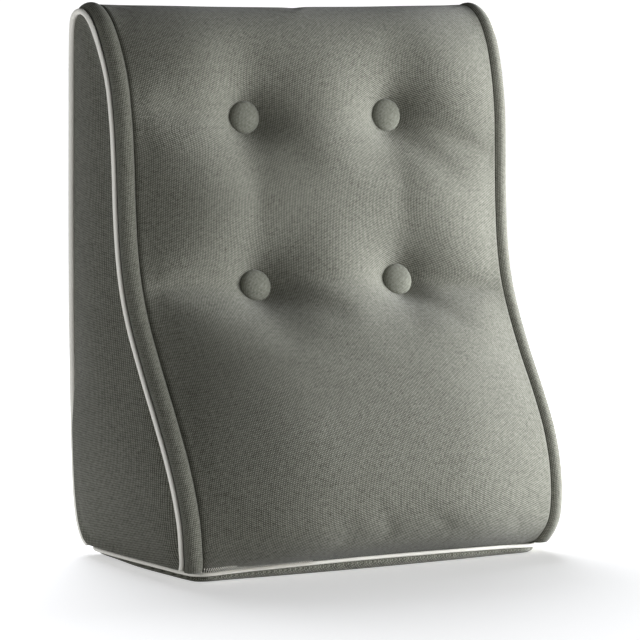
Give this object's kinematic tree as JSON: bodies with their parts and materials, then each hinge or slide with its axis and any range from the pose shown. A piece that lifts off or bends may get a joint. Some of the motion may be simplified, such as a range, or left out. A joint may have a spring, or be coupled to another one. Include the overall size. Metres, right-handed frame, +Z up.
{
  "type": "backrest pillow",
  "caption": "Wedge-shaped backrest pillow that stands on its own base, with a curved button-tufted front, rolled borders and contrast piping.",
  "frame": {"origin": "on the floor, under the middle of the pillow's bounding box", "axes": "+X to the right for a viewer who faces the front, -Y the front that a back leans on, +Z up"},
  "size_m": [0.5, 0.3032, 0.6012],
  "materials": {
    "cover_fabric": "grey-green melange upholstery weave, matt",
    "button_fabric": "the cover's fabric, finer and stretched smooth, matt",
    "piping_fabric": "off-white cotton bias tape, matt"
  },
  "bodies": {
    "root": {"cushion_body": "cover_fabric", "base_panel": "cover_fabric", "border_roll_left": "cover_fabric", "border_roll_right": "cover_fabric", "side_piping_left": "piping_fabric", "side_piping_right": "piping_fabric", "base_piping": "piping_fabric", "button_lower_left": "button_fabric", "button_lower_right": "button_fabric", "button_upper_left": "button_fabric", "button_upper_right": "button_fabric"}
  },
  "joints": []
}
